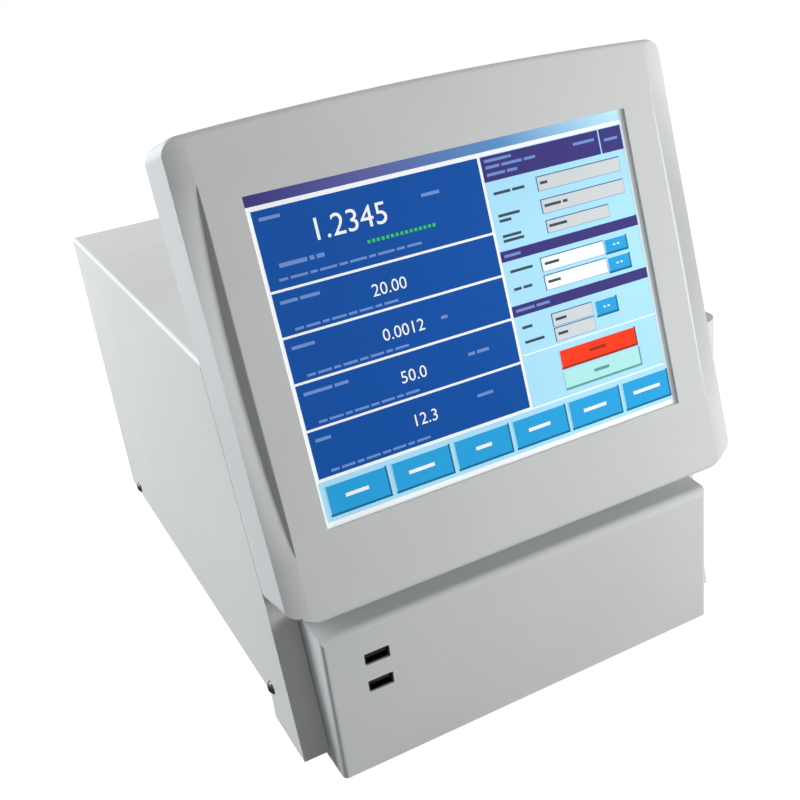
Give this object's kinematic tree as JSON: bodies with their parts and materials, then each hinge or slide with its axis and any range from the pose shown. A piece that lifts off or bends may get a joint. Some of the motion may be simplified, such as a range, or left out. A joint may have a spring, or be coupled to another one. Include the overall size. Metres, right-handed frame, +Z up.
{
  "type": "benchtop density meter",
  "caption": "Benchtop liquid density meter with a tilted touch-screen head on a sheet-metal housing, front data ports, side sample ports and a glass oscillating U-tube inside.",
  "frame": {"origin": "centre of the bounding box on the table, under the feet", "axes": "+X to the right seen from the screen, +Y to the back, +Z up"},
  "size_m": [0.3255, 0.3699, 0.3437],
  "materials": {
    "paint": "fine textured light-grey powder coat",
    "moulding": "light-grey moulded plastic, fine grain",
    "rubber": "moulded rubber",
    "zinc_steel": "bright zinc plate",
    "stainless": "brushed stainless",
    "black_steel": "black oxide",
    "aluminium": "machined, plain anodised",
    "fluoropolymer": "translucent white fluoropolymer",
    "glass": "clear borosilicate glass",
    "screen_glass": "satin resistive touch panel",
    "screen": "lit colour display",
    "black_plastic": "glass-filled black moulding",
    "fuse": "glass fuse with plated caps",
    "circuit_board": "green solder mask",
    "flat_cable": "grey flat cable",
    "foam": "closed-cell foam",
    "ceramic": "unglazed ceramic"
  },
  "bodies": {
    "instrument": {"wrap_cover": "paint", "rear_panel": "paint", "base_pan": "paint", "display_bezel": "moulding", "lower_front_panel": "moulding", "port_pod": "moulding", "display_back_cover": "moulding", "foot_front_left": "rubber", "foot_front_right": "rubber", "foot_rear_left": "rubber", "foot_rear_right": "rubber", "front_frame": "zinc_steel", "frame_screws": "zinc_steel", "bezel_screws": "zinc_steel", "lcd_brackets": "zinc_steel", "lcd_screws": "zinc_steel", "body_screws": "zinc_steel", "usb_board_screws": "zinc_steel", "rear_panel_screws": "zinc_steel", "foot_screws": "zinc_steel", "cell_stand": "zinc_steel", "board_standoffs": "zinc_steel", "fan_guard": "zinc_steel", "serial_port": "zinc_steel", "ethernet_port": "zinc_steel", "rear_usb_ports": "zinc_steel", "usb_port_upper": "zinc_steel", "usb_port_lower": "zinc_steel", "air_pump_motor": "zinc_steel", "port_plate": "stainless", "air_nozzle": "stainless", "cover_screws": "black_steel", "fan_screws": "black_steel", "back_cover_screws": "black_steel", "cell_block": "aluminium", "cell_lid": "aluminium", "heat_sink": "aluminium", "power_supply": "aluminium", "inlet_fitting": "fluoropolymer", "outlet_fitting": "fluoropolymer", "inlet_tube": "fluoropolymer", "outlet_tube": "fluoropolymer", "air_tube": "fluoropolymer", "u_tube": "glass", "touch_panel": "screen_glass", "lcd_module": "screen", "fan_frame": "black_plastic", "power_inlet": "black_plastic", "air_pump_head": "black_plastic", "display_board": "circuit_board", "usb_board": "circuit_board", "main_board": "circuit_board", "display_ribbon": "flat_cable", "cell_foam": "foam", "screen_gasket": "foam", "thermoelectric_modules": "ceramic"},
    "fan_rotor": {"fan_rotor": "black_plastic"},
    "power_rocker": {"power_rocker": "black_plastic"},
    "fuse_drawer": {"fuse_drawer": "black_plastic", "fuses": "fuse"}
  },
  "joints": [
    {"name": "fan_spin", "type": "hinge", "parent": "instrument", "child": "fan_rotor", "pos_m": [-0.0948, 0.17015, 0.16], "axis": [0, 1, 0], "continuous": true},
    {"name": "power_switch", "type": "hinge", "parent": "instrument", "child": "power_rocker", "pos_m": [0.0672, 0.17965, 0.142], "axis": [0, 0, 1], "range_deg": [0, 16]},
    {"name": "fuse_drawer_slide", "type": "slide", "parent": "instrument", "child": "fuse_drawer", "axis": [0, 1, 0], "range_m": [0, 0.022]}
  ]
}
